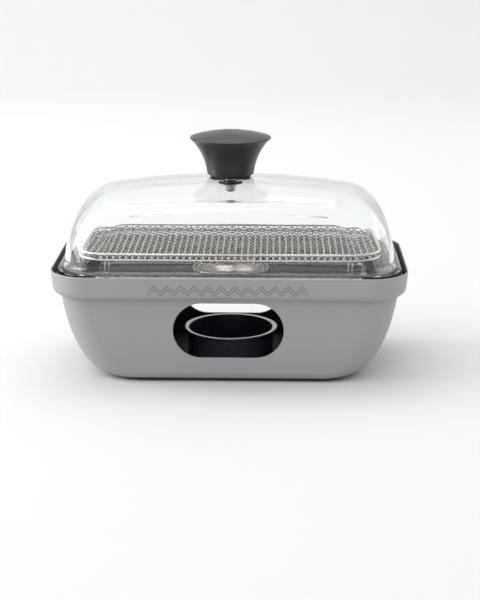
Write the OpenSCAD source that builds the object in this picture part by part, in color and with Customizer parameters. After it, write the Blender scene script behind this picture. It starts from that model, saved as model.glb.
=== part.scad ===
// Stovetop smoker box: a pressed steel housing with a window front and rear, a burner cup on its
// floor, a drop-in pan with a chip dish, a woven wire rack on short legs, and a glass lid.
// The origin is at the middle of the base, +Z is up and the front faces -Y.

/* [Housing] */
// Width across the rim
housing_w = 260; // [217:1:312]
// Depth across the rim
housing_d = 136.2; // [114:0.1:163.4]
// Height of the rim above the table
housing_h = 80.3; // [67:0.1:96]
// Plan radius of the rim's corners
housing_corner = 29; // [24:1:36]
// Thickness of the housing's sheet
sheet = 1.2; // [0.9:0.1:1.8]
// Height of the rim band, from the ledge to the rim
band_h = 17.5; // [14:0.5:21]
// How far the rim band stands out from the wall below it
band_step = 7; // [5:0.5:8.5]
// How far the rim leans out from the foot of the band
band_lean = 1; // [0:0.1:1.5]
// How far the ends of the flat base lie in from the rim
base_inset_end = 49; // [41:1:58]
// How far the front and rear of the flat base lie in from the rim
base_inset_side = 12.2; // [10:0.2:14.6]
// Plan radius of the base's corners
base_corner = 30; // [24:1:38]

/* [Windows] */
// Width of the window in the front and rear walls
window_w = 80; // [60:1:96]
// Distance from the window's upper edge to the ledge
window_top_gap = 2.8; // [2.2:0.1:6]
// Height of the window's lower edge above the table
window_sill = 19; // [15:0.5:20]

/* [Burner cup] */
// Outer diameter of the cup's wall
cup_d = 64.6; // [52:0.2:78]
// Outer diameter of the flared lip
cup_lip_d = 71.2; // [68:0.2:86]
// Height of the cup
cup_h = 24; // [18:0.5:29]
// Thickness of the cup's sheet
cup_sheet = 0.8; // [0.6:0.1:1.2]

/* [Pan] */
// How far the pan's flange lies below the rim
rim_recess = 2.7; // [2:0.1:4]
// Gap between the pan's skirt and the rim band
pan_gap = 1; // [0.6:0.1:2]
// Width of the pan's flange at the ends
flange_end = 18.8; // [15.6:0.1:22.6]
// Width of the pan's flange at the front and rear
flange_side = 16.9; // [14:0.1:20.3]
// Plan radius of the well's corners
well_corner = 20; // [14:1:26]
// Height of the well, from floor to flange
well_h = 15.6; // [12:0.2:18]
// Thickness of the pan's sheet
pan_sheet = 0.8; // [0.6:0.1:1]

/* [Chip dish] */
// Diameter of the dish's rim
dish_d = 57; // [44:1:68]
// Height of the dish
dish_h = 10; // [8:0.5:12]
// Diameter of the dish's flat bottom
dish_base_d = 24; // [16:1:30]
// Thickness of the dish's sheet
dish_sheet = 0.8; // [0.6:0.1:1]

/* [Rack] */
// Gap between the rack's frame and the lid's glass at the ends
rack_gap_end = 6.6; // [3:0.1:9]
// Gap between the rack's frame and the lid's glass at the front and rear
rack_gap_side = 3.7; // [3:0.1:5]
// Plan radius of the frame's corners
rack_corner = 23; // [18:1:28]
// Diameter of the two frame wires
frame_wire = 2; // [1.6:0.1:2.6]
// Thickness of the woven wires
mesh_wire = 0.85; // [0.6:0.05:1]
// Distance between neighbouring woven wires
mesh_pitch = 4.6; // [4:0.1:6]
// Height of the legs below the lower frame wire
leg_h = 10; // [8:0.5:12]
// Diameter of the leg wire
leg_wire = 1.5; // [1.2:0.1:2]
// Distance between the two wires of a leg
leg_loop = 2.6; // [2.2:0.1:4]

/* [Glass lid] */
// Play between the lid's foot and the inside of the rim
lid_play = 3; // [2:0.1:4]
// Height of the lid from its foot to the crown
lid_h = 63.6; // [52:0.2:78]
// Plan radius of the lid's corners
lid_corner = 29.4; // [26:0.2:34]
// Thickness of the glass
glass_t = 4.5; // [3.7:0.1:5.4]
// How far the foot stands out from the wall
foot_out = 4.2; // [3:0.1:5]
// Thickness of the foot's edge
foot_edge = 3.2; // [2:0.1:4]
// Height of the straight wall above the foot
lid_wall_h = 8; // [6:0.5:12]
// Width of the rolled edge between the wall and the crown at the ends
roll_end = 31.6; // [24:0.2:38]
// Radius of the fillet between the wall and the crown at the front and rear
fillet_r = 11; // [8:0.2:14]
// How far the front and rear walls lean in below the fillet
side_lean = 4; // [2:0.2:6]
// How much shallower the dome is at its ends, as a share of its depth
dome_bow = 0.15; // [0:0.01:0.3]
// Radius of the crown from side to side
crown_rx = 600; // [400:10:1200]
// Radius of the crown from front to back
crown_ry = 130; // [104:1:300]

/* [Knob] */
// Diameter of the knob's rim
knob_d = 59.8; // [48:0.2:72]
// Height of the knob
knob_h = 32.1; // [26:0.1:39]
// Diameter of the knob's base
knob_base_d = 34.8; // [30:0.2:42]
// Height of the knob's crown above its rim
knob_crown = 5.2; // [3:0.1:7]
// Radius of the knob's hollow side
knob_side_r = 44; // [40:1:60]
// Diameter of the gasket under the knob
knob_gasket_d = 30; // [24:0.5:32]
// Thickness of both gaskets
gasket_t = 1.5; // [1:0.1:2]
// Diameter of the gasket under the glass
inner_gasket_d = 17.5; // [14:0.5:21]
// Diameter of the screw
screw_d = 5; // [4:0.5:6]
// Diameter of the screw's head
screw_head_d = 7.5; // [7:0.5:10]
// Height of the screw's head
screw_head_h = 5; // [3:0.5:6]

/* [Hidden] */
$fn = 64;

// Clearances between pieces that rest on or pass through each other
seat_gap = 0.3;
weld_gap = 0.1;
weave_gap = 0.04;
bore_gap = 0.05;
screw_gap = 1.5;
overcut = 1;

// Steps of the lofted shells and of the arcs in revolved outlines
corner_steps = 8;
wall_levels = 10;
bend_steps = 5;
roll_steps = 10;
crown_rings = [0.16, 0.4, 0.64, 0.84];
lid_side_steps = 8;
lid_end_steps = 4;
lid_corner_steps = 7;

// Housing levels
wall_z = housing_h - band_h;
wall_taper_w = 0.25;
wall_taper_d = 0.3;
wall_curve_w = 2.4;
wall_curve_d = 1.9;
wall_curve_mid = 2.1;
ledge_z = wall_z + sheet;
base_hw = housing_w / 2 - base_inset_end;
base_hd = housing_d / 2 - base_inset_side;
window_h = wall_z - window_top_gap - window_sill;

// Pan outlines and levels
pan_inset = sheet + band_lean + pan_gap;
well_hw = housing_w / 2 - pan_inset - flange_end;
well_hd = housing_d / 2 - pan_inset - flange_side;
flange_z = housing_h - rim_recess;
ledge_run = band_step - band_lean;
seat_angle = acos(sqrt(1 - pow(1 - pan_gap / ledge_run, 2)));
pan_foot_z = ledge_z + (ledge_run - sheet) * (1 - cos(seat_angle)) + seat_gap;
well_floor_z = flange_z - well_h;
skirt_bend = 2.5;
lip_bend = 3;
floor_bend = 5;

// Outline of the lid's wall at the foot
lid_hw = housing_w / 2 - sheet - lid_play - foot_out;
lid_hd = housing_d / 2 - sheet - lid_play - foot_out;

// Rack outlines and levels; the outlines follow the middle of the frame wire
rack_hw = lid_hw - glass_t - rack_gap_end - frame_wire / 2;
rack_hd = lid_hd - glass_t - rack_gap_side - frame_wire / 2;
rack_r = rack_corner - frame_wire / 2;
foot_z = flange_z + seat_gap;
lower_frame_z = foot_z + leg_h + weld_gap + frame_wire / 2;
crimp = (mesh_wire + weave_gap) / (2 * (1 - mesh_wire / mesh_pitch));
frame_gap = 2 * crimp + mesh_wire + 2 * weld_gap;
mesh_z = lower_frame_z + (frame_wire + frame_gap) / 2;
upper_frame_z = lower_frame_z + frame_wire + frame_gap;
mesh_end = 0.6;
long_count = floor(2 * (rack_hd - frame_wire) / mesh_pitch) + 1;
cross_count = floor(2 * (rack_hw - frame_wire) / mesh_pitch) + 1;

// Lid levels
lid_foot_z = flange_z + seat_gap;
lid_top_z = lid_foot_z + lid_h;
lid_wall_z = lid_foot_z + lid_wall_h;
lid_draft = 1.2;
roll_h = crown_z(lid_top_z, [0, lid_hd - lid_draft - side_lean - fillet_r]) - lid_wall_z;
glass_bore_r = screw_d / 2 + screw_gap;

// Knob levels
knob_gasket_z = lid_top_z + bore_gap;
knob_base_z = knob_gasket_z + gasket_t + bore_gap;
knob_rim_z = knob_base_z + knob_h - knob_crown;
knob_edge_r = 0.7;
knob_side_drop = 4;
knob_side_shift = 0.35;
knob_foot_chamfer = 0.8;
insert_r = 4.5;
insert_h = 14;
glass_under_z = crown_z(lid_top_z - glass_t, [0, inner_gasket_d / 2]);
inner_gasket_z = glass_under_z - weld_gap - gasket_t;
washer_t = 1;
washer_r = screw_head_d / 2 + 2;
washer_z = inner_gasket_z - bore_gap - washer_t;
screw_head_z = washer_z - bore_gap - screw_head_h;
screw_length = 16;

// Points along an arc, from one angle to another
function arc(x, z, r, from, to, steps = bend_steps) = [
    for (k = [0 : steps])
        let (a = from + (to - from) * k / steps)
        [x + r * cos(a), z + r * sin(a)]
];

// How far a pressed wall has come in at a depth u of its height, from 0 at the top to 1: part of it
// in a straight taper and the rest in a curve that tightens toward the base
function come_in(u, taper, power) =
    taper * u + (1 - taper) * (1 - pow(max(0, 1 - pow(u, power)), 1 / power));

// Half the width of a rounded rectangle at a distance y from its long axis
function reach(hw, hd, r, y) =
    abs(y) <= hd - r ? hw : hw - r + sqrt(max(0, r * r - pow(abs(y) - hd + r, 2)));

// One quarter of a rounded rectangle's outline and the straight side that follows it
function quarter(hw, hd, r, q, steps, side_steps) =
    let (
        sx = (q == 0 || q == 3) ? 1 : -1,
        sy = q < 2 ? 1 : -1,
        centre = [sx * (hw - r), sy * (hd - r)],
        turn = [for (k = [0 : steps]) centre + r * [cos(90 * (q + k / steps)), sin(90 * (q + k / steps))]],
        run = q % 2 == 0 ? [-2 * sx * (hw - r), 0] : [0, -2 * sy * (hd - r)],
        side = [for (k = [1 : 1 : side_steps - 1]) turn[steps] + run * k / side_steps]
    )
    concat(turn, side);

// A rounded rectangle's outline, with its sides cut into steps
function ring(hw, hd, r, steps, nx = 1, ny = 1) = [
    for (q = [0 : 3])
        each quarter(hw, hd, r, q, steps, q % 2 == 0 ? nx : ny)
];

function lift(points, z) = [for (p = points) [p[0], p[1], z]];

// A closed skin through a list of rings, ended by a point at each end
module skin(rings, first_centre, last_centre) {
    n = len(rings[0]);
    last = (len(rings) - 1) * n;
    points = concat([for (level = rings) each level], [first_centre, last_centre]);
    sides = [
        for (k = [0 : len(rings) - 2], i = [0 : n - 1])
            let (a = k * n + i, b = k * n + (i + 1) % n)
            each [[a, b, b + n], [a, b + n, a + n]]
    ];
    first_cap = [for (i = [0 : n - 1]) [len(points) - 2, (i + 1) % n, i]];
    last_cap = [for (i = [0 : n - 1]) [len(points) - 1, last + i, last + (i + 1) % n]];
    polyhedron(points = points, faces = concat(sides, first_cap, last_cap), convexity = 6);
}

// Carries a flat outline round a rounded rectangle; x counts outward from it and y is height
module around(hw, hd, r) {
    for (q = [0 : 3]) {
        sx = (q == 0 || q == 3) ? 1 : -1;
        sy = q < 2 ? 1 : -1;
        translate([sx * (hw - r), sy * (hd - r), 0])
            rotate([0, 0, 90 * q])
            rotate_extrude(angle = 90)
            translate([r, 0])
            children();
    }
    for (turn = [0, 180]) {
        rotate([0, 0, turn])
            rotate([90, 0, 0])
            linear_extrude(height = 2 * (hd - r), center = true)
            translate([hw, 0])
            children();
        rotate([0, 0, turn + 90])
            rotate([90, 0, 0])
            linear_extrude(height = 2 * (hw - r), center = true)
            translate([hd, 0])
            children();
    }
}

module rounded_rect(hw, hd, r) {
    square([2 * hw, 2 * (hd - r)], center = true);
    square([2 * (hw - r), 2 * hd], center = true);
    for (sx = [-1, 1], sy = [-1, 1])
        translate([sx * (hw - r), sy * (hd - r)])
            circle(r = r);
}

// A round piece from its outline, turned about the vertical axis
module turned(points) {
    rotate_extrude()
        polygon(points);
}

// A flat ring, such as a washer
module flat_ring(r_out, r_in, z, t) {
    translate([0, 0, z])
        difference() {
            cylinder(r = r_out, h = t);
            translate([0, 0, -overcut])
                cylinder(r = r_in, h = t + 2 * overcut);
        }
}

// One ring of the housing's wall at a depth u below the ledge; t is the sheet, or 0 outside
function wall_ring(u, t) =
    let (
        in_w = come_in(u, wall_taper_w, wall_curve_w),
        in_d = come_in(u, wall_taper_d, wall_curve_d),
        hw = housing_w / 2 - band_step,
        hd = housing_d / 2 - band_step,
        r = housing_corner - band_step
    )
    lift(ring(
        hw - t - (hw - base_hw) * in_w,
        hd - t - (hd - base_hd) * in_d,
        r - t + (base_corner - r) * in_w,
        corner_steps), wall_z * (1 - u) + t * u);

function wall_rings(t) = [
    for (k = [0 : wall_levels])
        let (u = pow(sin(90 * k / wall_levels), 2 / wall_curve_mid))
        wall_ring(u, t)
];

// The ledge and the round foot of the rim band, from the wall outward
function ledge_rings(t) = [
    for (k = [0 : bend_steps])
        let (
            a = 90 * k / bend_steps,
            inset = band_step - ledge_run * sin(a) + t
        )
        lift(ring(housing_w / 2 - inset, housing_d / 2 - inset, housing_corner - inset, corner_steps),
            wall_z + t + (ledge_run - t) * (1 - cos(a)))
];

function rim_ring(t) =
    lift(ring(housing_w / 2 - t, housing_d / 2 - t, housing_corner - t, corner_steps), housing_h);

function backward(list) = [for (k = [len(list) - 1 : -1 : 0]) list[k]];

module window_cut() {
    rotate([90, 0, 0])
        translate([0, window_sill + window_h / 2, 0])
        linear_extrude(height = housing_d + 2 * overcut, center = true) {
            square([window_w - window_h, window_h], center = true);
            for (side = [-1, 1])
                translate([side * (window_w - window_h) / 2, 0])
                    circle(d = window_h);
        }
}

module housing() {
    color([0.61, 0.60, 0.61])
        difference() {
            skin(concat(
                backward(wall_rings(0)), ledge_rings(0), [rim_ring(0)],
                [rim_ring(sheet)], backward(ledge_rings(sheet)), wall_rings(sheet)),
                [0, 0, 0], [0, 0, sheet]);
            window_cut();
        }
}

module burner_cup() {
    r = cup_d / 2;
    lip_r = cup_lip_d / 2;
    bend = 2.5;
    lip_rise = 1.4;
    lip_z = cup_h - lip_rise;
    color([0.09, 0.09, 0.11])
        translate([0, 0, sheet + seat_gap])
        turned(concat(
            [[0, 0]],
            arc(r - bend, bend, bend, -90, 0),
            [[r, lip_z - cup_sheet], [lip_r, cup_h - cup_sheet], [lip_r, cup_h], [r - cup_sheet, lip_z]],
            arc(r - bend, bend, bend - cup_sheet, 0, -90),
            [[0, cup_sheet]]));
}

module pan_well() {
    around(well_hw, well_hd, well_corner)
        polygon(concat(
            arc(lip_bend, flange_z - lip_bend, lip_bend, 90, 180),
            arc(-floor_bend, well_floor_z + floor_bend, floor_bend, 0, -90),
            arc(-floor_bend, well_floor_z + floor_bend, floor_bend + pan_sheet, -90, 0),
            arc(lip_bend, flange_z - lip_bend, lip_bend - pan_sheet, 180, 90)));
    translate([0, 0, well_floor_z - pan_sheet])
        linear_extrude(height = pan_sheet)
        rounded_rect(well_hw - floor_bend, well_hd - floor_bend, well_corner - floor_bend);
}

module pan_flange(hw, hd, r) {
    translate([0, 0, flange_z - pan_sheet])
        linear_extrude(height = pan_sheet)
        difference() {
            rounded_rect(hw - skirt_bend, hd - skirt_bend, r - skirt_bend);
            rounded_rect(well_hw + lip_bend, well_hd + lip_bend, well_corner + lip_bend);
        }
    around(hw, hd, r)
        polygon(concat(
            arc(-skirt_bend, flange_z - skirt_bend, skirt_bend, 90, 0),
            [[0, pan_foot_z], [-pan_sheet, pan_foot_z]],
            arc(-skirt_bend, flange_z - skirt_bend, skirt_bend - pan_sheet, 0, 90)));
}

module pan() {
    color([0.58, 0.58, 0.60]) {
        pan_well();
        pan_flange(housing_w / 2 - pan_inset, housing_d / 2 - pan_inset, housing_corner - pan_inset);
    }
}

module chip_dish() {
    r = dish_d / 2;
    base_r = dish_base_d / 2;
    inner_h = dish_h - dish_sheet;
    run = r - dish_sheet - base_r;
    side = [for (a = [0 : 15 : 90]) [base_r + run * sin(a), dish_sheet + inner_h * (1 - cos(a))]];
    color([0.74, 0.72, 0.70])
        translate([0, 0, well_floor_z + seat_gap])
        turned(concat(
            [[0, 0], [base_r, 0]],
            [for (p = side) if (p[1] > dish_sheet) [p[0] + dish_sheet, p[1] - dish_sheet / 2]],
            [[r, dish_h], [r - dish_sheet, dish_h]],
            backward([for (p = side) if (p[1] < dish_h) p]),
            [[0, dish_sheet]]));
}

module rack_frame(z) {
    color([0.70, 0.69, 0.66])
        around(rack_hw, rack_hd, rack_r)
        translate([0, z])
        circle(d = frame_wire);
}

module rack_upper_frame() { rack_frame(upper_frame_z); }

module rack_lower_frame() { rack_frame(lower_frame_z); }

function mesh_place(k, count) = (k - (count - 1) / 2) * mesh_pitch;

// The side outline of a crimped wire that passes over and under its neighbours in turn
function crimped(half_length, count, phase) =
    let (
        places = [for (k = [0 : count - 1]) if (abs(mesh_place(k, count)) < half_length - mesh_wire / 2) k],
        bends = [for (k = places) [mesh_place(k, count), (k + phase) % 2 == 0 ? crimp : -crimp]],
        line = concat([[-half_length, 0]], bends, [[half_length, 0]])
    )
    concat(
        [for (p = line) p + [0, mesh_wire / 2]],
        backward([for (p = line) p - [0, mesh_wire / 2]]));

module crimped_wire(half_length, count, phase) {
    rotate([90, 0, 0])
        linear_extrude(height = mesh_wire, center = true)
        polygon(crimped(half_length, count, phase));
}

module rack_long_wires() {
    color([0.66, 0.65, 0.62])
        for (j = [0 : long_count - 1]) {
            y = mesh_place(j, long_count);
            translate([0, y, mesh_z])
                crimped_wire(reach(rack_hw, rack_hd, rack_r, y) + mesh_end, cross_count, j);
        }
}

module rack_cross_wires() {
    color([0.72, 0.71, 0.68])
        for (i = [0 : cross_count - 1]) {
            x = mesh_place(i, cross_count);
            translate([x, 0, mesh_z])
                rotate([0, 0, 90])
                crimped_wire(reach(rack_hd, rack_hw, rack_r, x) + mesh_end, long_count, i + 1);
        }
}

// A hairpin of wire, welded under the lower frame wire
module rack_leg(sx, sy) {
    bend_z = foot_z + leg_wire / 2 + leg_loop / 2;
    color([0.70, 0.69, 0.66])
        translate([sx * (rack_hw - rack_r), sy * rack_hd, bend_z]) {
            for (side = [-1, 1])
                translate([side * leg_loop / 2, 0, 0])
                    cylinder(d = leg_wire, h = foot_z + leg_h - bend_z);
            rotate([90, 0, 0])
                rotate([0, 0, 180])
                rotate_extrude(angle = 180)
                translate([leg_loop / 2, 0])
                circle(d = leg_wire);
        }
}

module rack_leg_front_left() { rack_leg(-1, -1); }

module rack_leg_front_right() { rack_leg(1, -1); }

module rack_leg_rear_left() { rack_leg(-1, 1); }

module rack_leg_rear_right() { rack_leg(1, 1); }

function crown_z(top, p) = top - p[0] * p[0] / (2 * crown_rx) - p[1] * p[1] / (2 * crown_ry);

// A plan outline of the lid, moved in from the foot of its wall at the ends and at the sides
function lid_outline(in_end, in_side) = ring(
    lid_hw - in_end, lid_hd - in_side, lid_corner, lid_corner_steps, lid_side_steps, lid_end_steps);

// Makes an outline shallower toward its ends, more so the higher up the dome it lies
function bowed(points, share) = [
    for (p = points) [p[0], p[1] * (1 - dome_bow * share * pow(p[0] / lid_hw, 2))]
];

// How far the fillet at the front and rear has come in at a depth below the crown
function fillet_in(depth, r) = depth < r ? r - sqrt(r * r - pow(r - depth, 2)) : 0;

// The rolled edge at an angle w, from 0 on the wall to 90 on the crown; t is 0 outside
function roll_ring(w, t) =
    let (
        in_end = lid_draft + t + (roll_end - t) * (1 - cos(w)),
        in_side = lid_draft + t + side_lean * sin(w) + fillet_in((1 - sin(w)) * roll_h, fillet_r - t)
    )
    [
        for (p = bowed(lid_outline(in_end, in_side), sin(w)))
            let (top = crown_z(lid_top_z - t, p))
            [p[0], p[1], top - (top - lid_wall_z) * (1 - sin(w))]
    ];

function crown_ring(scale, t) = [
    for (p = bowed(lid_outline(lid_draft + roll_end, lid_draft + side_lean + fillet_r), 1))
        [scale * p[0], scale * p[1], crown_z(lid_top_z - t, scale * p)]
];

// The dome's outer or inner surface, from the crown down
function dome_rings(t) = concat(
    [for (s = crown_rings) crown_ring(s, t)],
    [for (k = [roll_steps : -1 : 0]) roll_ring(90 * k / roll_steps, t)]);

// The flared foot, from the wall down its outside
function foot_rings() =
    let (
        hollow = lid_wall_h - foot_edge - 2,
        neck = [for (a = [30 : 30 : 90]) [lid_draft - (lid_draft + foot_out - foot_edge / 2) * (1 - cos(a)),
            foot_edge + hollow * (1 - sin(a))]],
        edge = [for (a = [45 : -45 : -90]) [-foot_out + foot_edge / 2 * (1 - cos(a)),
            foot_edge / 2 * (1 + sin(a))]]
    )
    [for (p = concat(neck, edge)) lift(lid_outline(p[0], p[0]), lid_foot_z + p[1])];

module glass_lid() {
    color([0.80, 0.90, 0.90, 0.35])
        difference() {
            skin(backward(concat(
                dome_rings(0), foot_rings(),
                [lift(lid_outline(glass_t, glass_t), lid_foot_z)],
                backward(dome_rings(glass_t)))),
                [0, 0, lid_top_z - glass_t], [0, 0, lid_top_z]);
            cylinder(r = glass_bore_r, h = lid_top_z + overcut);
        }
}

module lid_knob() {
    r = knob_d / 2;
    base_r = knob_base_d / 2;
    side_z = knob_base_z - knob_side_drop;
    side_x = base_r - knob_side_shift + knob_side_r;
    side_top = asin((knob_rim_z - knob_edge_r - side_z) / knob_side_r);
    side_foot = asin((knob_base_z + knob_foot_chamfer - side_z) / knob_side_r);
    dome_h = knob_crown - knob_edge_r;
    dome_r = (pow(r - knob_edge_r, 2) + pow(dome_h, 2)) / (2 * dome_h);
    dome_angle = asin((r - knob_edge_r) / dome_r);
    bore_r = insert_r + bore_gap;
    bore_z = knob_base_z + insert_h + bore_gap;
    color([0.17, 0.17, 0.19])
        turned(concat(
            [[0, bore_z], [bore_r, bore_z], [bore_r, knob_base_z]],
            [[base_r - knob_foot_chamfer, knob_base_z]],
            arc(side_x, side_z, knob_side_r, 180 - side_foot, 180 - side_top, 2 * bend_steps),
            arc(r - knob_edge_r, knob_rim_z, knob_edge_r, -30, 90),
            arc(0, knob_rim_z + knob_crown - dome_r, dome_r, 90 - 0.95 * dome_angle, 90)));
}

module knob_insert() {
    color([0.72, 0.58, 0.32])
        flat_ring(insert_r, screw_d / 2 + bore_gap, knob_base_z, insert_h);
}

module knob_screw() {
    head_r = screw_head_d / 2;
    shank_z = screw_head_z + screw_head_h;
    head_round = 1.8;
    tip = 0.6;
    color([0.70, 0.70, 0.70])
        turned(concat(
            [for (a = [0 : 18 : 90]) [head_r * sin(a), screw_head_z + head_round * (1 - cos(a))]],
            [[head_r, shank_z], [screw_d / 2, shank_z], [screw_d / 2, shank_z + screw_length - tip]],
            [[screw_d / 2 - tip, shank_z + screw_length], [0, shank_z + screw_length]]));
}

module knob_gasket() {
    color([0.13, 0.13, 0.14])
        flat_ring(knob_gasket_d / 2, screw_d / 2 + bore_gap, knob_gasket_z, gasket_t);
}

module inner_gasket() {
    color([0.13, 0.13, 0.14])
        flat_ring(inner_gasket_d / 2, screw_d / 2 + bore_gap, inner_gasket_z, gasket_t);
}

module screw_washer() {
    color([0.68, 0.68, 0.68])
        flat_ring(washer_r, screw_d / 2 + bore_gap, washer_z, washer_t);
}

housing();
burner_cup();
pan();
chip_dish();
rack_upper_frame();
rack_lower_frame();
rack_long_wires();
rack_cross_wires();
rack_leg_front_left();
rack_leg_front_right();
rack_leg_rear_left();
rack_leg_rear_right();
glass_lid();
lid_knob();
knob_insert();
knob_screw();
knob_gasket();
inner_gasket();
screw_washer();
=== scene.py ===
"""Looks of the stovetop smoker box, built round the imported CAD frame.

Lengths are in millimetres, as in the CAD source, and turned into metres when a mesh is made. Materials,
lights and the camera are in metres. Sizes that a CAD node's box gives are read from the frame.
"""

import math

import bmesh
import bpy
import numpy as np
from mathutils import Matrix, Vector


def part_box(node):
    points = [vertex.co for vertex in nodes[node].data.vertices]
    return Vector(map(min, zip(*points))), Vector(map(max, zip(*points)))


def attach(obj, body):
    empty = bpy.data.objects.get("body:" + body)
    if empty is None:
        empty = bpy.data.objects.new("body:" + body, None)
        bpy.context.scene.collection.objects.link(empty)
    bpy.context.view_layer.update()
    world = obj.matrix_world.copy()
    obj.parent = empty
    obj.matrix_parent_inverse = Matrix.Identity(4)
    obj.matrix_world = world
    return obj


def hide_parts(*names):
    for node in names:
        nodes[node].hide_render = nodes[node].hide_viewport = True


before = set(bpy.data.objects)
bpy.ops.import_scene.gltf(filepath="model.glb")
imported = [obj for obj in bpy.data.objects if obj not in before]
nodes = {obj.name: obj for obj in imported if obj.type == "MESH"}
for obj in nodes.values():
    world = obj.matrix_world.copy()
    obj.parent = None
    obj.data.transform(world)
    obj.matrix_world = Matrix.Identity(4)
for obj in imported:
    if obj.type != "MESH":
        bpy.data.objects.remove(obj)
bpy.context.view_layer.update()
scene = bpy.context.scene
MM = 0.001


def node_box(name):
    """A CAD node's lowest and highest corners at rest, in millimetres."""
    return [[round(c / MM, 3) for c in corner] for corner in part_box(name)]


# ---------------------------------------------------------------- sizes

SEAT_GAP = 0.3

# Housing: half sizes and corner radius at the rim, then the band, the base, the wall's curve and the windows
HOUSING_HW, HOUSING_HD, HOUSING_H = node_box("housing")[1]
HOUSING_R = 29.0
SHEET = 1.2
BAND_H, BAND_STEP, BAND_LEAN = 17.5, 7.0, 1.0
LEDGE_RUN = BAND_STEP - BAND_LEAN
WALL_Z = HOUSING_H - BAND_H
BASE_HW, BASE_HD, BASE_R = 83.0, 59.5, 30.0
# The lowest band of the outer wall, up to the hem height on this line, is near-black: painted contact shadow
# where the base meets the floor.
BASE_FILLET, SHADOW_HEM = 8.0, 2.6
WALL_TAPER_W, WALL_POWER_W = 0.25, 2.4
WALL_TAPER_D, WALL_POWER_D = 0.3, 1.9
WALL_SPREAD = 2.1
WINDOW_W, WINDOW_SILL, WINDOW_TOP_GAP = 80.0, 19.0, 2.8
WINDOW_H = WALL_Z - WINDOW_TOP_GAP - WINDOW_SILL

# Burner cup
CUP_R, CUP_BEND, CUP_SHEET = 32.3, 2.5, 0.8
CUP_LIP_DROP, CUP_LIP_BEND = 1.4, 1.0

# Pan: it fills the rim up to a gap, and its skirt stands on the curve of the housing's ledge
FLANGE_Z = node_box("pan")[1][2]
PAN_SHEET, PAN_GAP = 0.8, 1.0
PAN_INSET = SHEET + BAND_LEAN + PAN_GAP
FLANGE_END, FLANGE_SIDE = 18.8, 16.9
WELL_HW, WELL_HD, WELL_R = HOUSING_HW - PAN_INSET - FLANGE_END, HOUSING_HD - PAN_INSET - FLANGE_SIDE, 20.0
WELL_FLOOR_Z = node_box("pan")[0][2] + PAN_SHEET
FLOOR_BEND, WELL_LIP_BEND, SKIRT_BEND = 5.0, 3.0, 2.5
LEDGE_RISE = (LEDGE_RUN - SHEET) * (1 - math.sqrt(1 - (1 - PAN_GAP / LEDGE_RUN) ** 2))
SKIRT_FOOT_Z = WALL_Z + SHEET + LEDGE_RISE + SEAT_GAP

# Chip dish
DISH_BASE_R, DISH_SHEET = 12.0, 0.8

# Rack: the outline of the frame wires' middle, the woven wires' spacing, radii and crimp
FRAME_WIRE_R = 1.0
RACK_HW = node_box("rack_upper_frame")[1][0] - FRAME_WIRE_R
RACK_HD = node_box("rack_upper_frame")[1][1] - FRAME_WIRE_R
RACK_R = 22.0
MESH_Z = (node_box("rack_lower_frame")[1][2] + node_box("rack_upper_frame")[0][2]) / 2
PITCH, MESH_MARGIN, WIRE_PAST_FRAME, WIRE_END_FLAT = 4.6, 2.0, 0.6, 2.2
LONG_R, LONG_CRIMP = 0.42, 1.0
CROSS_R, CROSS_CRIMP = 0.90, 0.34

# Glass lid: the wall's outline at the foot, the dome's levels and rolls, the foot and the boss round the bore
LID_H, LID_WALL_H = 63.6, 8.0
LID_FOOT_Z = node_box("glass_lid")[0][2]
LID_TOP_Z, LID_WALL_Z = LID_FOOT_Z + LID_H, LID_FOOT_Z + LID_WALL_H
FOOT_OUT, FOOT_BEND, FOOT_TIP_R, FOOT_CURL_Z = 4.2, 4.4, 1.35, 6.4
LID_HW = node_box("glass_lid")[1][0] - FOOT_OUT
LID_HD = node_box("glass_lid")[1][1] - FOOT_OUT
LID_R = 29.4
LID_DRAFT, LID_LEAN, LID_ROLL_END, LID_ROLL_SIDE = 1.2, 4.5, 31.6, 8.0
CROWN_RX, CROWN_RY, LID_BOW = 600.0, 130.0, 0.15
ROLL_H = LID_TOP_Z - LID_WALL_Z - (LID_HD - LID_DRAFT - LID_LEAN - LID_ROLL_SIDE) ** 2 / (2 * CROWN_RY)
GLASS_WALL, GLASS_BOSS = 3.0, 4.5
GLASS_BORE_R, BOSS_MID_R, BOSS_R, BOSS_SHOULDER = 4.0, 7.0, 12.5, 3.2

# Knob
KNOB_BASE_Z, KNOB_TOP_Z = node_box("lid_knob")[0][2], node_box("lid_knob")[1][2]
KNOB_R, KNOB_BASE_R, KNOB_CROWN = 29.9, 17.4, 5.2
KNOB_EDGE_R, KNOB_FOOT_R, KNOB_SIDE_R, KNOB_SIDE_DROP, KNOB_SIDE_SHIFT = 0.7, 0.8, 44.0, 4.0, 0.35
BORE_GAP = 0.05
INSERT_BORE_R = node_box("knob_insert")[1][0] + BORE_GAP
INSERT_BORE_Z = node_box("knob_insert")[1][2] + BORE_GAP


# ---------------------------------------------------------------- mesh helpers


def outline(hw, hd, r, corner=20, nx=40, ny=18):
    """Points round a rounded rectangle, from the +X side and counter-clockwise."""
    points = []
    for q in range(4):
        sx, sy = (1 if q in (0, 3) else -1), (1 if q < 2 else -1)
        along_x = q % 2 == 0
        turn = arc(sx * (hw - r), sy * (hd - r), r, 90 * q, 90 * (q + 1), corner)
        run = (-2 * sx * (hw - r), 0.0) if along_x else (0.0, -2 * sy * (hd - r))
        n = nx if along_x else ny
        points += turn
        points += [(turn[-1][0] + run[0] * k / n, turn[-1][1] + run[1] * k / n) for k in range(1, n)]
    return np.array(points)


def arc(x, z, r, start, end, steps=8):
    """Points along an arc, from one angle to another, in degrees."""
    angles = np.radians(np.linspace(start, end, steps + 1))
    return [(x + r * math.cos(a), z + r * math.sin(a)) for a in angles]


def lifted(points, z):
    """An outline's points at a height, or at a height of each point's own."""
    z = np.broadcast_to(np.asarray(z, float), (len(points),))
    return np.column_stack([points, z])


def flat_disc(ring, z, shares):
    """Rings that fill a flat bottom, from near its middle out toward a ring."""
    return [lifted(ring[:, :2] * s, z) for s in shares]


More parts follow.
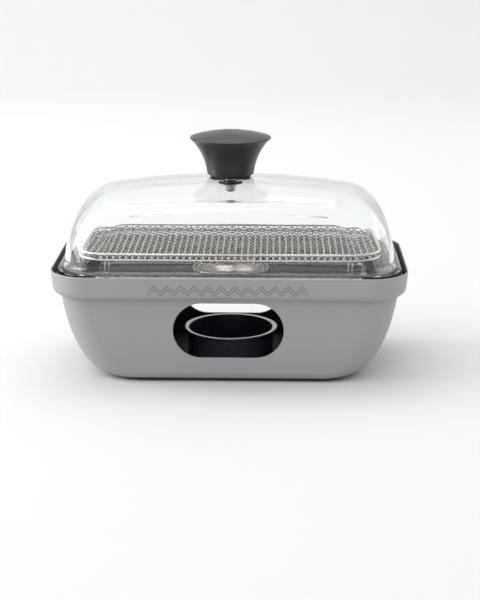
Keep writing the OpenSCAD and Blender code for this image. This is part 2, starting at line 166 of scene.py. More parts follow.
def skin(rings, first=None, last=None, closed=False):
    """Vertices, faces and each face's row of a skin through rings, ended by points or joined into a loop."""
    n = len(rings[0])
    vertices = [v for ring in rings for v in ring]
    faces, rows = [], []
    pairs = [(k, k + 1) for k in range(len(rings) - 1)]
    if closed:
        pairs.append((len(rings) - 1, 0))
    for a, b in pairs:
        for i in range(n):
            j = (i + 1) % n
            faces.append((a * n + i, a * n + j, b * n + j, b * n + i))
            rows.append(a)
    for point, row, flip in ((first, 0, True), (last, len(rings) - 1, False)):
        if point is None:
            continue
        vertices.append(point)
        c = len(vertices) - 1
        for i in range(n):
            j = (i + 1) % n
            faces.append((c, row * n + j, row * n + i) if flip else (c, row * n + i, row * n + j))
            rows.append(row)
    return vertices, faces, rows


def lathe(profile, segments=128):
    """Vertices and faces of a turned piece; its profile runs from the axis back to the axis, as (r, z)."""
    angles = np.arange(segments) * 2 * math.pi / segments
    rings = [
        np.column_stack([r * np.cos(angles), r * np.sin(angles), np.full(segments, z)])
        for r, z in profile[1:-1]
    ]
    vertices, faces, _ = skin(rings, (0, 0, profile[0][1]), (0, 0, profile[-1][1]))
    return vertices, faces


def tube(path, radius, sides, across):
    """A capped round tube along a path in one plane, which the direction across is square to."""
    path = np.asarray(path, float)
    tangent = np.gradient(path, axis=0)
    tangent /= np.linalg.norm(tangent, axis=1)[:, None]
    across = np.asarray(across, float)
    angles = np.arange(sides) * 2 * math.pi / sides
    rings = [
        p + radius * (np.outer(np.cos(angles), across) + np.outer(np.sin(angles), up))
        for p, up in zip(path, np.cross(tangent, across))
    ]
    return skin(rings, path[0], path[-1])


def join(parts):
    """The vertices and faces of several skins as those of one mesh."""
    vertices, faces = [], []
    for part_vertices, part_faces, _ in parts:
        base = len(vertices)
        vertices += [tuple(v) for v in part_vertices]
        faces += [tuple(i + base for i in face) for face in part_faces]
    return vertices, faces


def new_object(name, vertices, faces, materials, scale=1.0):
    """A mesh object in the scene."""
    mesh = bpy.data.meshes.new(name)
    mesh.from_pydata([tuple(v) for v in np.asarray(vertices) * scale], [], faces)
    mesh.validate()
    for material in materials:
        mesh.materials.append(material)
    obj = bpy.data.objects.new(name, mesh)
    scene.collection.objects.link(obj)
    return obj


def new_piece(name, vertices, faces, body, materials, smooth=40, face_material=None):
    """A piece with outward faces, made from millimetres, that rides on a body."""
    obj = new_object(name, vertices, faces, materials, MM)
    if face_material is not None:
        obj.data.polygons.foreach_set("material_index", np.asarray(face_material, np.int32))
    shade(obj.data, smooth)
    face_outward(obj.data)
    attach(obj, body)
    return obj


def shade(mesh, angle):
    """Smooth shading, with edges sharper than an angle in degrees kept sharp."""
    mesh.polygons.foreach_set("use_smooth", [True] * len(mesh.polygons))
    mesh.set_sharp_from_angle(angle=math.radians(angle))
    mesh.update()


def face_outward(mesh):
    """Turns every face of a closed mesh outward."""
    work = bmesh.new()
    work.from_mesh(mesh)
    bmesh.ops.recalc_face_normals(work, faces=work.faces)
    work.to_mesh(mesh)
    work.free()


def above(vertices, faces, z):
    """For each face, 1 if all of it lies above a height, or else 0."""
    heights = np.array([v[2] for v in vertices])
    return [int(min(heights[list(face)]) > z) for face in faces]


def subtract(obj, cutter):
    """Cuts one object out of another, and removes the cutter."""
    cut = obj.modifiers.new("cut", "BOOLEAN")
    cut.operation, cut.object, cut.solver = "DIFFERENCE", cutter, "EXACT"
    graph = bpy.context.evaluated_depsgraph_get()
    mesh = bpy.data.meshes.new_from_object(obj.evaluated_get(graph))
    obj.modifiers.clear()
    obj.data = mesh
    bpy.data.objects.remove(cutter)


# ---------------------------------------------------------------- materials


class Material:
    """A node material with small helpers; coordinates are the piece's own, in metres."""

    def __init__(self, name, **values):
        self.data = bpy.data.materials.new(name)
        self.data.use_nodes = True
        self.tree = self.data.node_tree
        self.shader = self.tree.nodes["Principled BSDF"]
        self.output = self.tree.nodes["Material Output"]
        for key, value in values.items():
            self.shader.inputs[key.replace("_", " ")].default_value = value
        self.place = self.add("ShaderNodeTexCoord").outputs["Object"]

    def add(self, kind, **fields):
        node = self.tree.nodes.new(kind)
        for key, value in fields.items():
            setattr(node, key, value)
        return node

    def link(self, output, socket):
        self.tree.links.new(output, socket)

    def feed(self, socket, value):
        """Links a socket to another node's output, or sets it to a plain value."""
        if isinstance(value, bpy.types.NodeSocket):
            self.link(value, socket)
        else:
            socket.default_value = value

    def stretched(self, scale):
        """Coordinates scaled along each axis."""
        node = self.add("ShaderNodeMapping")
        self.link(self.place, node.inputs["Vector"])
        node.inputs["Scale"].default_value = scale
        return node.outputs["Vector"]

    def noise(self, scale, detail, vector=None):
        """Soft noise from about 0.3 to 0.7, with a given number of features to the metre."""
        node = self.add("ShaderNodeTexNoise")
        self.link(vector or self.place, node.inputs["Vector"])
        node.inputs["Scale"].default_value = scale
        node.inputs["Detail"].default_value = detail
        return node.outputs["Fac"]

    def math(self, operation, a, b=0.0, c=0.0, clamp=False):
        node = self.add("ShaderNodeMath", operation=operation, use_clamp=clamp)
        for socket, value in zip(node.inputs, (a, b, c)):
            self.feed(socket, value)
        return node.outputs["Value"]

    def remap(self, value, low, high, to_low, to_high):
        node = self.add("ShaderNodeMapRange")
        for name, limit in (("From Min", low), ("From Max", high), ("To Min", to_low), ("To Max", to_high)):
            node.inputs[name].default_value = limit
        self.link(value, node.inputs["Value"])
        return node.outputs["Result"]

    def mix(self, factor, a, b):
        node = self.add("ShaderNodeMix", data_type="RGBA")
        factor_in, a_in, b_in = node.inputs[0], node.inputs[6], node.inputs[7]
        self.feed(factor_in, factor)
        for socket, value in ((a_in, a), (b_in, b)):
            self.feed(socket, (*value, 1.0) if isinstance(value, tuple) else value)
        return node.outputs[2]

    def axis(self, name):
        """One coordinate: X, Y or Z."""
        node = self.add("ShaderNodeSeparateXYZ")
        self.link(self.place, node.inputs[0])
        return node.outputs[name]

    def colour(self, value):
        self.link(value, self.shader.inputs["Base Color"])

    def roughness(self, value, low, high):
        """Roughness from low to high, over the range that noise mostly keeps to."""
        self.link(self.remap(value, 0.3, 0.7, low, high), self.shader.inputs["Roughness"])

    def bump(self, height, depth, strength):
        """Relief in the surface, with its depth in metres."""
        node = self.add("ShaderNodeBump")
        node.inputs["Distance"].default_value = depth
        node.inputs["Strength"].default_value = strength
        self.link(height, node.inputs["Height"])
        self.link(node.outputs["Normal"], self.shader.inputs["Normal"])


def zigzag(m):
    """How strongly two thin parallel zigzag lines show along the middle of the front band."""
    middle_z, half_run, front_y = 0.0708, 0.057, -0.06
    half_period, rise, apart, line, strength = 0.0048, 0.0046, 0.0026, 0.00055, 0.7
    slope = rise / half_period
    wave = m.math("PINGPONG", m.axis("X"), half_period)
    centre = m.math("MULTIPLY_ADD", wave, slope, middle_z - rise / 2)
    off = m.math("ABSOLUTE", m.math("SUBTRACT", m.axis("Z"), centre))
    off = m.math("ABSOLUTE", m.math("SUBTRACT", off, apart / 2))
    half_line = line / 2 * math.hypot(1, slope)
    mask = m.remap(off, half_line, half_line * 1.5, strength, 0.0)
    mask = m.math("MULTIPLY", mask, m.math("LESS_THAN", m.math("ABSOLUTE", m.axis("X")), half_run))
    return m.math("MULTIPLY", mask, m.math("LESS_THAN", m.axis("Y"), front_y))


def specks(m, spacing, share, radius):
    """How strongly round specks show in a share of the cells; their radius is a share of the spacing."""
    cells = m.add("ShaderNodeTexVoronoi", feature="F1")
    m.link(m.place, cells.inputs["Vector"])
    cells.inputs["Scale"].default_value = 1 / spacing
    pick = m.add("ShaderNodeSeparateColor")
    m.link(cells.outputs["Color"], pick.inputs[0])
    chosen = m.math("GREATER_THAN", pick.outputs[0], 1 - share)
    near = m.remap(cells.outputs["Distance"], radius, radius + 0.01, 0.5, 0.0)
    return m.math("MULTIPLY", near, chosen, clamp=True)


def grey_paint():
    """Fine-grained warm grey stove paint, with faint clouding, a few specks and a plain zigzag border."""
    m = Material("grey_paint", Specular_IOR_Level=0.45)
    cloud = m.remap(m.noise(9.0, 4.0), 0.3, 0.7, 0.0, 1.0)
    base = m.mix(cloud, (0.350, 0.342, 0.352), (0.380, 0.372, 0.382))
    grain = m.noise(2600.0, 2.0)
    base = m.mix(m.remap(grain, 0.35, 0.75, 0.0, 0.10), base, (0.20, 0.195, 0.20))
    base = m.mix(specks(m, 1 / 36, 0.07, 0.006), base, (0.09, 0.09, 0.10))
    m.colour(m.mix(zigzag(m), base, (0.115, 0.114, 0.120)))
    m.roughness(m.noise(60.0, 4.0), 0.40, 0.50)
    m.bump(grain, 0.00002, 0.6)
    return m.data


def dark_enamel_and_shade(name, dark, light, low, high):
    """Satin colour between two colours, with a roughness from low to high: real enamel, and also the painted
    contact shadow at the housing's base.
    """
    m = Material(name, Specular_IOR_Level=0.5)
    m.colour(m.mix(m.noise(30.0, 4.0), dark, light))
    m.roughness(m.noise(45.0, 5.0), low, high)
    m.bump(m.noise(900.0, 2.0), 0.00003, 0.3)
    return m.data


SHEET_GRAIN, WIRE_GRAIN = (60.0, 60.0, 3000.0), (900.0, 900.0, 900.0)


def metal(name, dark, light, low, high, grain=SHEET_GRAIN):
    """Bare metal between two colours, with fine lines or grain in its roughness and relief."""
    m = Material(name, Metallic=1.0)
    lines = m.noise(1.0, 3.0, m.stretched(grain))
    m.colour(m.mix(m.noise(25.0, 4.0), dark, light))
    m.roughness(lines, low, high)
    m.bump(lines, 0.00001, 0.25)
    return m.data


def clear_glass():
    """Clear glass with a faint blue-green body colour, which lets the lamps' light through."""
    white, body_colour, body_density = (1.0, 1.0, 1.0, 1.0), (0.30, 0.80, 0.78, 1.0), 6.0
    shadow_tint = (0.93, 0.96, 0.96, 1.0)
    m = Material("clear_glass", Base_Color=white, Transmission_Weight=1.0, IOR=1.40, Specular_IOR_Level=0.5)
    m.link(m.remap(m.noise(55.0, 5.0), 0.0, 1.0, 0.0, 0.004), m.shader.inputs["Roughness"])
    body = m.add("ShaderNodeVolumeAbsorption")
    body.inputs["Color"].default_value = body_colour
    body.inputs["Density"].default_value = body_density
    m.link(body.outputs[0], m.output.inputs["Volume"])
    path = m.add("ShaderNodeLightPath")
    passing = m.add("ShaderNodeBsdfTransparent")
    passing.inputs["Color"].default_value = shadow_tint
    surface = m.add("ShaderNodeMixShader")
    m.link(path.outputs["Is Shadow Ray"], surface.inputs[0])
    m.link(m.shader.outputs[0], surface.inputs[1])
    m.link(passing.outputs[0], surface.inputs[2])
    m.link(surface.outputs[0], m.output.inputs["Surface"])
    return m.data


def knob_plastic():
    """Black moulded plastic with a fine eggshell surface."""
    m = Material("knob_plastic", Specular_IOR_Level=0.5)
    m.colour(m.mix(m.noise(60.0, 4.0), (0.008, 0.008, 0.013), (0.012, 0.012, 0.018)))
    m.roughness(m.noise(90.0, 4.0), 0.27, 0.35)
    m.bump(m.noise(2200.0, 2.0), 0.00003, 0.45)
    return m.data


def seal_rubber():
    """Black matt rubber."""
    m = Material("seal_rubber", Specular_IOR_Level=0.35)
    m.colour(m.mix(m.noise(120.0, 3.0), (0.022, 0.022, 0.024), (0.035, 0.035, 0.037)))
    m.roughness(m.noise(300.0, 3.0), 0.60, 0.75)
    m.bump(m.noise(1500.0, 2.0), 0.00003, 0.4)
    return m.data


def plain_floor():
    """Pale matt studio paper."""
    m = Material("plain_floor", Specular_IOR_Level=0.2)
    m.colour(m.mix(m.noise(3.0, 3.0), (0.70, 0.70, 0.71), (0.72, 0.72, 0.73)))
    m.roughness(m.noise(8.0, 3.0), 0.65, 0.75)
    return m.data


PAINT = grey_paint()
INSIDE = dark_enamel_and_shade("inside_enamel", (0.078, 0.083, 0.110), (0.100, 0.105, 0.132), 0.28, 0.42)
# Near-black colour for the lowest band of the housing's wall: painted contact shadow where the base meets the
# floor.
CONTACT_SHADOW_PAINT = dark_enamel_and_shade("painted_contact_shadow", (0.014, 0.015, 0.019), (0.022, 0.023, 0.028), 0.45, 0.60)
CUP = dark_enamel_and_shade("cup_enamel", (0.054, 0.059, 0.084), (0.072, 0.077, 0.104), 0.22, 0.34)
CUP_LIP = metal("cup_lip_steel", (0.30, 0.29, 0.28), (0.40, 0.39, 0.38), 0.10, 0.18)
# The flange's top in a darker copy of the pan's steel: painted shade, since the flange is the same steel as
# the well.
SHADED_FLANGE = metal("flange_steel_painted_shade", (0.115, 0.115, 0.122), (0.150, 0.150, 0.157), 0.24, 0.32)
PAN = metal("pan_steel", (0.30, 0.30, 0.311), (0.35, 0.35, 0.361), 0.20, 0.28)
DISH = metal("dish_steel", (0.42, 0.39, 0.365), (0.52, 0.49, 0.465), 0.13, 0.20)
# The dish's rim in a lighter copy of the dish's steel: a painted highlight along the rolled rim.
DISH_RIM_HIGHLIGHT = metal("dish_rim_painted_highlight", (0.72, 0.70, 0.67), (0.80, 0.78, 0.75), 0.10, 0.16)
WIRE = metal("wire_steel", (0.60, 0.585, 0.55), (0.80, 0.78, 0.745), 0.14, 0.30, WIRE_GRAIN)
# The side-to-side wires in a darker copy of the wire steel: painted shade, as they are the same steel as the
# bold wires.
SHADED_THIN_WIRE = metal("thin_wire_steel_painted_shade", (0.40, 0.39, 0.365), (0.54, 0.53, 0.505), 0.16, 0.32, WIRE_GRAIN)
CLEAR = clear_glass()
KNOB = knob_plastic()
SEAL = seal_rubber()
BRASS = metal("insert_brass", (0.62, 0.44, 0.20), (0.74, 0.56, 0.30), 0.22, 0.36)
ZINC = metal("zinc_steel", (0.36, 0.34, 0.31), (0.50, 0.48, 0.45), 0.24, 0.40)


# ---------------------------------------------------------------- housing


def come_in(u, taper, power):
    """How far a wall has come in at a depth u, from 0 at the top to 1: part taper, part tightening curve."""
    return taper * u + (1 - taper) * (1 - max(0.0, 1 - u**power) ** (1 / power))


def wall_ring(u, t):
    """The wall's outline at a depth u, at a depth of t into the sheet, with the fillet at the base."""
    in_w = come_in(u, WALL_TAPER_W, WALL_POWER_W)
    in_d = come_in(u, WALL_TAPER_D, WALL_POWER_D)
    hw, hd, r = HOUSING_HW - BAND_STEP, HOUSING_HD - BAND_STEP, HOUSING_R - BAND_STEP
    below = max(0.0, BASE_FILLET - WALL_Z * (1 - u))
    under = BASE_FILLET - math.sqrt(BASE_FILLET**2 - below**2) + t
    width = hw - under - (hw - BASE_HW) * in_w
    depth = hd - under - (hd - BASE_HD) * in_d
    corner = r - under + (BASE_R - r) * in_w
    return lifted(outline(width, depth, corner), WALL_Z * (1 - u) + t * u)


def inset_ring(inset, z):
    """The rim's outline, made smaller all round."""
    return lifted(outline(HOUSING_HW - inset, HOUSING_HD - inset, HOUSING_R - inset), z)


def housing_rings(t):
    """One face of the housing's sheet, from the base's edge up to just below the rim."""
    levels = 44
    depths = [math.sin(math.pi / 2 * k / levels) ** (2 / WALL_SPREAD) for k in range(levels, 0, -1)]
    rings = [wall_ring(min(1.0, u), t) for u in depths]
    for a in np.radians(np.linspace(0, 90, 15)):
        inset = BAND_STEP - LEDGE_RUN * math.sin(a) + t
        rings.append(inset_ring(inset, WALL_Z + t + (LEDGE_RUN - t) * (1 - math.cos(a))))
    band_foot, band_top = WALL_Z + LEDGE_RUN, HOUSING_H - SHEET / 2
    for share in np.linspace(0.12, 1.0, 8):
        rings.append(inset_ring(BAND_LEAN * (1 - share) + t, band_foot + (band_top - band_foot) * share))
    return rings


def window_cutter():
    """A stadium-shaped bar that cuts both windows."""
    half, mid = (WINDOW_W - WINDOW_H) / 2, WINDOW_SILL + WINDOW_H / 2
    points = arc(half, mid, WINDOW_H / 2, -90, 90, 40) + arc(-half, mid, WINDOW_H / 2, 90, 270, 40)
    reach_y = HOUSING_HD + 10
    vertices, faces, _ = skin([[(x, y, z) for x, z in points] for y in (-reach_y, reach_y)])
    n = len(points)
    faces += [tuple(reversed(range(n))), tuple(range(n, 2 * n))]
    cutter = new_object("cutter", vertices, faces, [PAINT], MM)
    face_outward(cutter.data)
    return cutter


def make_housing():
    """A pressed shell with painted and enamelled faces, a near-black band at the base's edge that is painted
    contact shadow, and a window in its front and in its rear.
    """
    shares = (0.1, 0.3, 0.5, 0.7, 0.85, 0.95)
    outer, inner = housing_rings(0), housing_rings(SHEET)
    edge = arc(SHEET / 2, HOUSING_H - SHEET / 2, SHEET / 2, 157.5, 22.5, 6)
    rim = [inset_ring(inset, z) for inset, z in edge]
    base_out, base_in = flat_disc(outer[0], 0.0, shares), flat_disc(inner[0], SHEET, shares)
    rings = base_out + outer + rim + inner[::-1] + base_in[::-1]
    vertices, faces, rows = skin(rings, (0, 0, 0), (0, 0, SHEET))
    # Rows below the hem height take the near-black painted contact shadow.
    shadow_below = len(base_out) + sum(ring[0][2] < SHADOW_HEM for ring in outer)
    enamel_from = len(base_out) + len(outer) + len(rim) // 2 + 1
    obj = new_piece(
        "housing_shell", vertices, faces, "base", [PAINT, INSIDE, CONTACT_SHADOW_PAINT],
        face_material=[1 if row >= enamel_from else 2 if row < shadow_below else 0 for row in rows],
    )
    subtract(obj, window_cutter())
    shade(obj.data, 32)
    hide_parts("housing")


# ---------------------------------------------------------------- cup, pan and dish


def make_burner_cup():
    """A dark enamelled cup whose wall turns out under a flat bright lip."""
    (_, _, foot), (lip_r, _, top) = node_box("burner_cup")
    t, bend = CUP_SHEET, CUP_LIP_BEND
    under = top - CUP_LIP_DROP - t
    profile = [(0, foot), (CUP_R * 0.4, foot)]
    profile += arc(CUP_R - CUP_BEND, foot + CUP_BEND, CUP_BEND, -90, 0)
    profile += arc(CUP_R + bend, under - bend, bend, 180, 120, 2)
    profile += arc(lip_r - t / 2, top - t / 2, t / 2, -60, 85)
    profile += [(lip_r - 2 * t, top)]
    profile += arc(CUP_R - t + bend, top - bend, bend, 90, 180, 3)
    profile += arc(CUP_R - CUP_BEND, foot + CUP_BEND, CUP_BEND - t, 0, -90)
    profile += [(CUP_R * 0.4, foot + t), (0, foot + t)]
    vertices, faces = lathe(profile)
    obj = new_piece(
        "burner_bowl", vertices, faces, "burner", [CUP, CUP_LIP],
        face_material=above(vertices, faces, top - 0.3),
    )
    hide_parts("burner_cup")


def pan_face(t):
    """One face of the pan's sheet, from the well's floor out to the skirt, at a depth of t below its top."""
    end_hw, end_hd, end_r = HOUSING_HW - PAN_INSET, HOUSING_HD - PAN_INSET, HOUSING_R - PAN_INSET

    def ring(out, share, z):
        """A ring between the well's outline and the skirt's, made larger all round."""
        hw = WELL_HW + (end_hw - WELL_HW) * share + out
        hd = WELL_HD + (end_hd - WELL_HD) * share + out
        return lifted(outline(hw, hd, WELL_R + (end_r - WELL_R) * share + out), z)

    floor = arc(-FLOOR_BEND, WELL_FLOOR_Z + FLOOR_BEND, FLOOR_BEND + t, -90, 0)
    lip = arc(WELL_LIP_BEND, FLANGE_Z - WELL_LIP_BEND, WELL_LIP_BEND - t, 180, 90)
    skirt = arc(-SKIRT_BEND, FLANGE_Z - SKIRT_BEND, SKIRT_BEND - t, 90, 0)
    flange = [(WELL_LIP_BEND * (1 - s) - SKIRT_BEND * s, s, FLANGE_Z - t) for s in (0.25, 0.5, 0.75)]
    rings = [ring(x, 0.0, z) for x, z in floor + lip]
    rings += [ring(out, share, z) for out, share, z in flange]
    return rings + [ring(x, 1.0, z) for x, z in skirt]


def make_pan():
    """A drop-in pan: a rounded well, a flange in a darker copy of the pan's steel that is painted shade, and
    a skirt turned down inside the rim.
    """
    t, shares = PAN_SHEET, (0.15, 0.4, 0.65, 0.85, 0.95)
    top, under = pan_face(0), pan_face(t)
    tip = arc(-t / 2, SKIRT_FOOT_Z + t / 2, t / 2, 0, -180, 6)
    rings = flat_disc(top[0], WELL_FLOOR_Z, shares) + top
    rings += [inset_ring(PAN_INSET - x, z) for x, z in tip] + under[::-1]
    rings += flat_disc(under[0], WELL_FLOOR_Z - t, shares)[::-1]
    vertices, faces, _ = skin(rings, (0, 0, WELL_FLOOR_Z), (0, 0, WELL_FLOOR_Z - t))
    obj = new_piece(
        "drip_pan", vertices, faces, "pan", [PAN, SHADED_FLANGE],
        # Faces on the flange's top take the darker painted-shade steel.
        face_material=above(vertices, faces, FLANGE_Z - t - 0.1),
    )
    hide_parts("pan")


def make_chip_dish():
    """A small round dish with a flat bottom, a wall curved like a bowl and a rounded rim in a lighter copy of
    its steel, a painted highlight.
    """
    (_, _, foot), (r, _, top) = node_box("chip_dish")
    t = DISH_SHEET
    run, rise = r - t - DISH_BASE_R, top - foot - t
    inner = [
        (DISH_BASE_R + run * math.sin(a), foot + t + rise * (1 - math.cos(a)))
        for a in np.radians(np.linspace(0, 90, 17))
    ]
    outer = [(x + t, z - t / 2) for x, z in inner if z > foot + t * 1.5]
    profile = [(0, foot), (DISH_BASE_R * 0.5, foot), (DISH_BASE_R, foot)] + outer[:-2]
    profile += [(r, top - 1.0)] + arc(r - t / 2, top - t / 2, t / 2, 0, 180) + inner[-3::-1]
    profile += [(DISH_BASE_R * 0.5, foot + t), (0, foot + t)]
    vertices, faces = lathe(profile)
    obj = new_piece(
        "chip_bowl", vertices, faces, "dish", [DISH, DISH_RIM_HIGHLIGHT],
        # Faces near the rim's top take the lighter painted highlight.
        face_material=above(vertices, faces, top - 0.7),
    )
    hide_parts("chip_dish")


# ---------------------------------------------------------------- rack


def reach(hw, hd, r, y):
    """Half the width of a rounded rectangle at a distance y from its long axis."""
    if abs(y) <= hd - r:
        return hw
    return hw - r + math.sqrt(max(0.0, r * r - (abs(y) - hd + r) ** 2))


def woven(half, crossings, phase, crimp):
    """Distances and heights along a crimped wire: over and under its neighbours in turn, flat at its ends."""
    steps = max(24, int(half * 2 / PITCH * 6))
    along = np.linspace(-half, half, steps)
    place = along / PITCH + (crossings - 1) / 2 + phase
    fade = np.clip((half - np.abs(along)) / WIRE_END_FLAT, 0, 1)
    return along, MESH_Z + crimp * np.cos(math.pi * place) * fade


def wire_rows(room):
    """How many wires fit side by side in a half width, and their places."""
    count = int(2 * (room - MESH_MARGIN) // PITCH) + 1
    return count, [(k - (count - 1) / 2) * PITCH for k in range(count)]


def make_mesh():
    """Thin wires from side to side, woven through bold ones from front to back."""
    long_count, long_rows = wire_rows(RACK_HD)
    cross_count, cross_rows = wire_rows(RACK_HW)
    long_parts, cross_parts = [], []
    for j, y in enumerate(long_rows):
        half = reach(RACK_HW, RACK_HD, RACK_R, y) + WIRE_PAST_FRAME
        along, z = woven(half, cross_count, j, LONG_CRIMP)
        path = np.column_stack([along, np.full(len(along), y), z])
        long_parts.append(tube(path, LONG_R, 8, (0, 1, 0)))
    for i, x in enumerate(cross_rows):
        half = reach(RACK_HD, RACK_HW, RACK_R, x) + WIRE_PAST_FRAME
        along, z = woven(half, long_count, i + 1, CROSS_CRIMP)
        path = np.column_stack([np.full(len(along), x), along, z])
        cross_parts.append(tube(path, CROSS_R, 10, (1, 0, 0)))
    for name, parts, node, material in (
        # The thin wires take the darker painted-shade copy of the steel.
        ("woven_long_wires", long_parts, "rack_long_wires", SHADED_THIN_WIRE),
        ("woven_cross_wires", cross_parts, "rack_cross_wires", WIRE),
    ):
        vertices, faces = join(parts)
        obj = new_piece(name, vertices, faces, "rack", [material], smooth=60)
        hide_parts(node)


# ---------------------------------------------------------------- glass lid


def crown(top, points):
    """The height of the dome's crown over an outline's points."""
    return top - points[:, 0] ** 2 / (2 * CROWN_RX) - points[:, 1] ** 2 / (2 * CROWN_RY)


def lid_outline(in_end, in_side):
    """The lid's outline at the foot, made smaller at its ends and at its sides."""
    return outline(LID_HW - in_end, LID_HD - in_side, LID_R, corner=20, nx=56, ny=26)


def bowed(points, u):
    """Narrows an outline toward its ends, more so the higher up the dome it lies."""
    return np.column_stack([points[:, 0], points[:, 1] * (1 - LID_BOW * u * (points[:, 0] / LID_HW) ** 2)])


def side_in(u, t):
    """How far the front and rear have come in at a share u of the dome's height: a lean and a fillet."""
    r, depth = LID_ROLL_SIDE - t, (1 - u) * ROLL_H
    fillet = r - math.sqrt(r * r - (r - depth) ** 2) if depth < r else 0.0
    return LID_DRAFT + t + LID_LEAN * u + fillet


def roll_ring(w, t):
    """A ring of the dome's rolled edge, at an angle w from the wall up, at a depth of t into the glass."""
    in_end = LID_DRAFT + t + (LID_ROLL_END - t) * (1 - math.cos(w))
    points = bowed(lid_outline(in_end, side_in(math.sin(w), t)), math.sin(w))
    top = crown(LID_TOP_Z - t, points)
    return lifted(points, top - (top - LID_WALL_Z) * (1 - math.sin(w)))


def boss(radius):
    """How much thicker the glass is under the knob's gaskets, at a distance from the bore's axis."""
    share = np.clip((BOSS_R - radius) / BOSS_SHOULDER, 0.0, 1.0)
    return (GLASS_BOSS - GLASS_WALL) * share * share * (3 - 2 * share)


def crown_rings(t):
    """From the bore out to the rolled edge: circles round the bore that change into the edge's outline."""
    edge = bowed(lid_outline(LID_DRAFT + LID_ROLL_END, LID_DRAFT + LID_LEAN + LID_ROLL_SIDE), 1.0)
    angle = np.arctan2(edge[:, 1], edge[:, 0])
    unit = np.column_stack([np.cos(angle), np.sin(angle)])
    shoulder = np.linspace(BOSS_R - BOSS_SHOULDER, BOSS_R, 5)
    circles = [r * unit for r in (GLASS_BORE_R, BOSS_MID_R, *shoulder)]
    spread = [circles[-1] * (1 - s) + edge * s for s in np.linspace(0, 1, 20)[1:-1]]
    rings = []
    for points in circles + spread:
        depth = t + (boss(np.hypot(points[:, 0], points[:, 1])) if t else 0.0)
        rings.append(lifted(points, crown(LID_TOP_Z, points) - depth))
    return rings


def dome(t):
    """The dome's outside, or its inside at a depth of t."""
    return crown_rings(t) + [roll_ring(w, t) for w in np.radians(np.linspace(90, 0, 33))]


def flare(t):
    """The flared foot's outside (t = 0) or inside, from the wall down, as (inset, height above the foot)."""
    return arc(LID_DRAFT - FOOT_BEND, FOOT_CURL_Z, FOOT_BEND + t, 0, -58, 9)


def foot_profile():
    """The foot from the outside of the wall to its inside, as (inset, height above the foot)."""
    least_z = 0.35
    inner = [p for p in flare(GLASS_WALL) if p[1] > least_z]
    tip = arc(FOOT_TIP_R - FOOT_OUT, FOOT_TIP_R, FOOT_TIP_R, 118, 270, 12)
    heel = [(inner[-1][0] - out, z) for out, z in ((1.2, 0.0), (0.6, 0.06), (0.2, 0.22))]
    return flare(0.0) + tip + heel + inner[::-1]


def make_glass_lid():
    """A thin crowned dome of glass with a thicker boss round the knob's bore and a bell-shaped foot."""
    foot = [lifted(lid_outline(inset, inset), LID_FOOT_Z + z) for inset, z in foot_profile()]
    vertices, faces, _ = skin(dome(0) + foot + dome(GLASS_WALL)[::-1], closed=True)
    obj = new_piece("lid_glass", vertices, faces, "lid", [CLEAR], smooth=50)
    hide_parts("glass_lid")


# ---------------------------------------------------------------- knob


def make_knob():
    """A waisted knob with a crowned top, and a bore for the insert in its base."""
    rim_z = KNOB_TOP_Z - KNOB_CROWN
    side_x, side_z = KNOB_BASE_R - KNOB_SIDE_SHIFT + KNOB_SIDE_R, KNOB_BASE_Z - KNOB_SIDE_DROP
    side_foot = math.degrees(math.asin((KNOB_FOOT_R + KNOB_SIDE_DROP) / KNOB_SIDE_R))
    side_top = math.degrees(math.asin((rim_z - KNOB_EDGE_R - side_z) / KNOB_SIDE_R))
    dome_h, dome_half = KNOB_CROWN - KNOB_EDGE_R, KNOB_R - KNOB_EDGE_R
    dome_r = (dome_half**2 + dome_h**2) / (2 * dome_h)
    dome_angle = math.degrees(math.asin(dome_half / dome_r))
    side = arc(side_x, side_z, KNOB_SIDE_R, 180 - side_foot, 180 - side_top, 28)
    profile = [(0, INSERT_BORE_Z), (INSERT_BORE_R, INSERT_BORE_Z), (INSERT_BORE_R, KNOB_BASE_Z)]
    profile += arc(side[0][0] - KNOB_FOOT_R, KNOB_BASE_Z + KNOB_FOOT_R, KNOB_FOOT_R, -90, 0, 3)[:-1] + side
    profile += arc(dome_half, rim_z, KNOB_EDGE_R, -30, 85)
    profile += arc(0, KNOB_TOP_Z - dome_r, dome_r, 90 - 0.97 * dome_angle, 90, 14)
    vertices, faces = lathe(profile, 160)
    obj = new_piece("knob_grip", vertices, faces, "lid", [KNOB], smooth=50)
    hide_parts("lid_knob")


# ---------------------------------------------------------------- CAD nodes that stay


def dress_nodes():
    """Gives the frame wires, the legs and the pieces under the knob their materials."""
    dress = {
        WIRE: [name for name in nodes if name.endswith("_frame") or name.startswith("rack_leg_")],
        BRASS: ["knob_insert"],
        ZINC: ["knob_screw", "screw_washer"],
        SEAL: ["knob_gasket", "inner_gasket"],
    }
    for material, names in dress.items():
        for name in names:
            mesh = nodes[name].data
            mesh.materials.clear()
            mesh.materials.append(material)


# ---------------------------------------------------------------- studio

# Each light's name, its place and target, its size and its power in watts
LIGHTS = (
    ("key_left", (-2.3, 0.0, 0.95), (0.0, 0.0, 0.05), (1.6, 1.1), 46.0),
    ("top_soft", (-0.2, 0.6, 1.7), (0.0, 0.0, 0.0), (1.6, 1.2), 10.0),
    ("front_soft", (-0.6, -1.4, 1.7), (0.0, 0.0, 0.05), (1.5, 1.2), 5.0),
    ("fill_right", (1.7, 0.5, 0.5), (0.0, 0.0, 0.03), (1.3, 0.8), 4.0),
    ("back_wash", (0.0, 1.1, 1.7), (0.0, 2.4, 0.9), (1.8, 0.5), 6.5),
)

# The camera's place and turn, fitted to the photograph's view of the rim, the windows and the knob
CAMERA_PLACE = (0.03348, -1.12189, 0.35654)
CAMERA_TILT, CAMERA_TURN, CAMERA_LENS, CAMERA_SENSOR = 74.528, 1.35, 92.234, 36.0


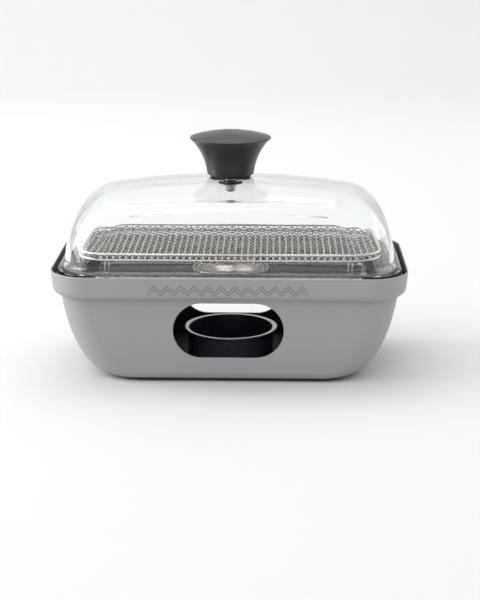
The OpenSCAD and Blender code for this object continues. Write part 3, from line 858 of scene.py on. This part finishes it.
def make_floor():
    """A pale floor that sweeps up behind the object into a backdrop."""
    half, front, back, bend_y, bend_r, top = 3.0, -2.6, 0.8, 1.5, 1.0, 1.6
    line = [(front, 0.0), (back, 0.0), (bend_y, 0.0)]
    line += arc(bend_y, bend_r, bend_r, -85, 0, 17)
    line += [(bend_y + bend_r, top)]
    vertices = [(x, y, z) for y, z in line for x in (-half, half)]
    faces = [(2 * k, 2 * k + 1, 2 * k + 3, 2 * k + 2) for k in range(len(line) - 1)]
    obj = new_object("studio_sweep", vertices, faces, [plain_floor()])
    obj.data.polygons.foreach_set("use_smooth", [True] * len(faces))


def make_lights():
    """Soft rectangular lamps that face their targets."""
    for name, place, target, size, power in LIGHTS:
        data = bpy.data.lights.new(name, "AREA")
        data.shape, data.size, data.size_y = "RECTANGLE", *size
        data.energy = power
        obj = bpy.data.objects.new(name, data)
        scene.collection.objects.link(obj)
        obj.location = place
        obj.rotation_euler = (Vector(target) - Vector(place)).to_track_quat("-Z", "Y").to_euler()


def make_world():
    """White light all round, which is brighter from above and from behind."""
    darkest, brightest, lean_back = 0.22, 0.88, 0.5
    world = bpy.data.worlds.new("studio")
    scene.world = world
    world.use_nodes = True
    tree = world.node_tree
    place = tree.nodes.new("ShaderNodeTexCoord")
    split = tree.nodes.new("ShaderNodeSeparateXYZ")
    height = tree.nodes.new("ShaderNodeMath")
    height.operation = "MULTIPLY_ADD"
    height.inputs[1].default_value = lean_back
    ramp = tree.nodes.new("ShaderNodeMapRange")
    for name, limit in (("From Min", -0.5), ("From Max", 0.5), ("To Min", darkest), ("To Max", brightest)):
        ramp.inputs[name].default_value = limit
    back = tree.nodes["Background"]
    back.inputs["Color"].default_value = (1.0, 1.0, 1.0, 1.0)
    for output, socket in (
        (place.outputs["Generated"], split.inputs[0]),
        (split.outputs["Y"], height.inputs[0]),
        (split.outputs["Z"], height.inputs[2]),
        (height.outputs[0], ramp.inputs["Value"]),
        (ramp.outputs[0], back.inputs["Strength"]),
    ):
        tree.links.new(output, socket)
    scene.view_settings.view_transform = "Standard"


def make_camera():
    """The photograph's viewpoint."""
    data = bpy.data.cameras.new("camera")
    data.sensor_width, data.lens = CAMERA_SENSOR, CAMERA_LENS
    data.clip_start, data.clip_end = 0.05, 20.0
    obj = bpy.data.objects.new("camera", data)
    scene.collection.objects.link(obj)
    obj.location = CAMERA_PLACE
    obj.rotation_euler = (math.radians(CAMERA_TILT), 0.0, math.radians(CAMERA_TURN))
    scene.camera = obj


make_housing()
make_burner_cup()
make_pan()
make_chip_dish()
make_mesh()
make_glass_lid()
make_knob()
dress_nodes()
make_floor()
make_lights()
make_world()
make_camera()
